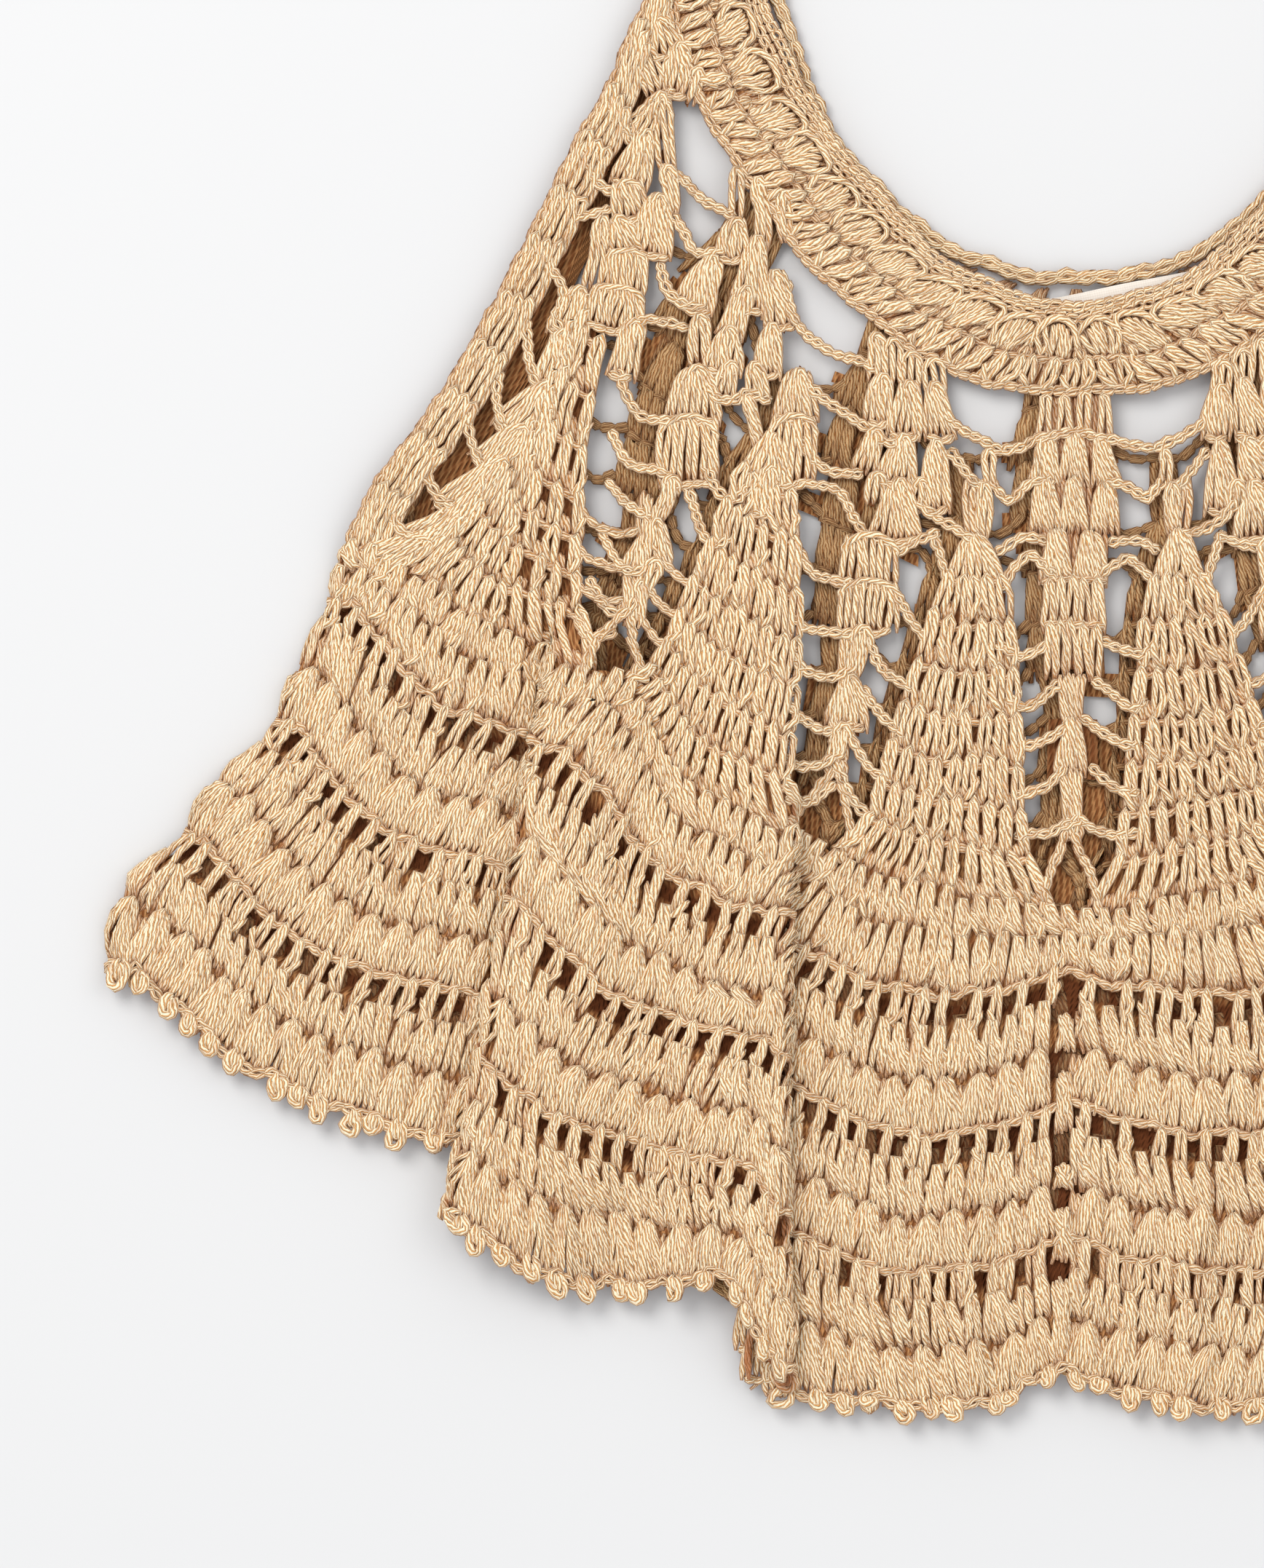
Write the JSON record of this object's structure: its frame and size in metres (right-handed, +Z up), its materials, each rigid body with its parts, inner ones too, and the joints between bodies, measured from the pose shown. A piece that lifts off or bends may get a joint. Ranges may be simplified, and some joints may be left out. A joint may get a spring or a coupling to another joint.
{
  "type": "crochet top",
  "caption": "Cropped sleeveless crochet top laid flat: scalloped neckband, lace yoke of fans and chain ladders, dense scalloped rows with open mesh rounds, picot hem.",
  "frame": {"origin": "on the surface the top lies on, under the middle of its bounding box", "axes": "+X towards the picture's right (the wearer's left), +Y towards the shoulders, +Z up from the surface towards the front of the top"},
  "size_m": [0.563, 0.4624, 0.0145],
  "materials": {
    "cotton": "matte beige cotton yarn",
    "label": "blank woven label, off-white"
  },
  "bodies": {
    "root": {"front_body": "cotton", "back_body": "cotton", "neckband_front": "cotton", "neckband_back": "cotton", "hem_edging_front": "cotton", "hem_edging_back": "cotton", "neck_label": "label"}
  },
  "joints": []
}
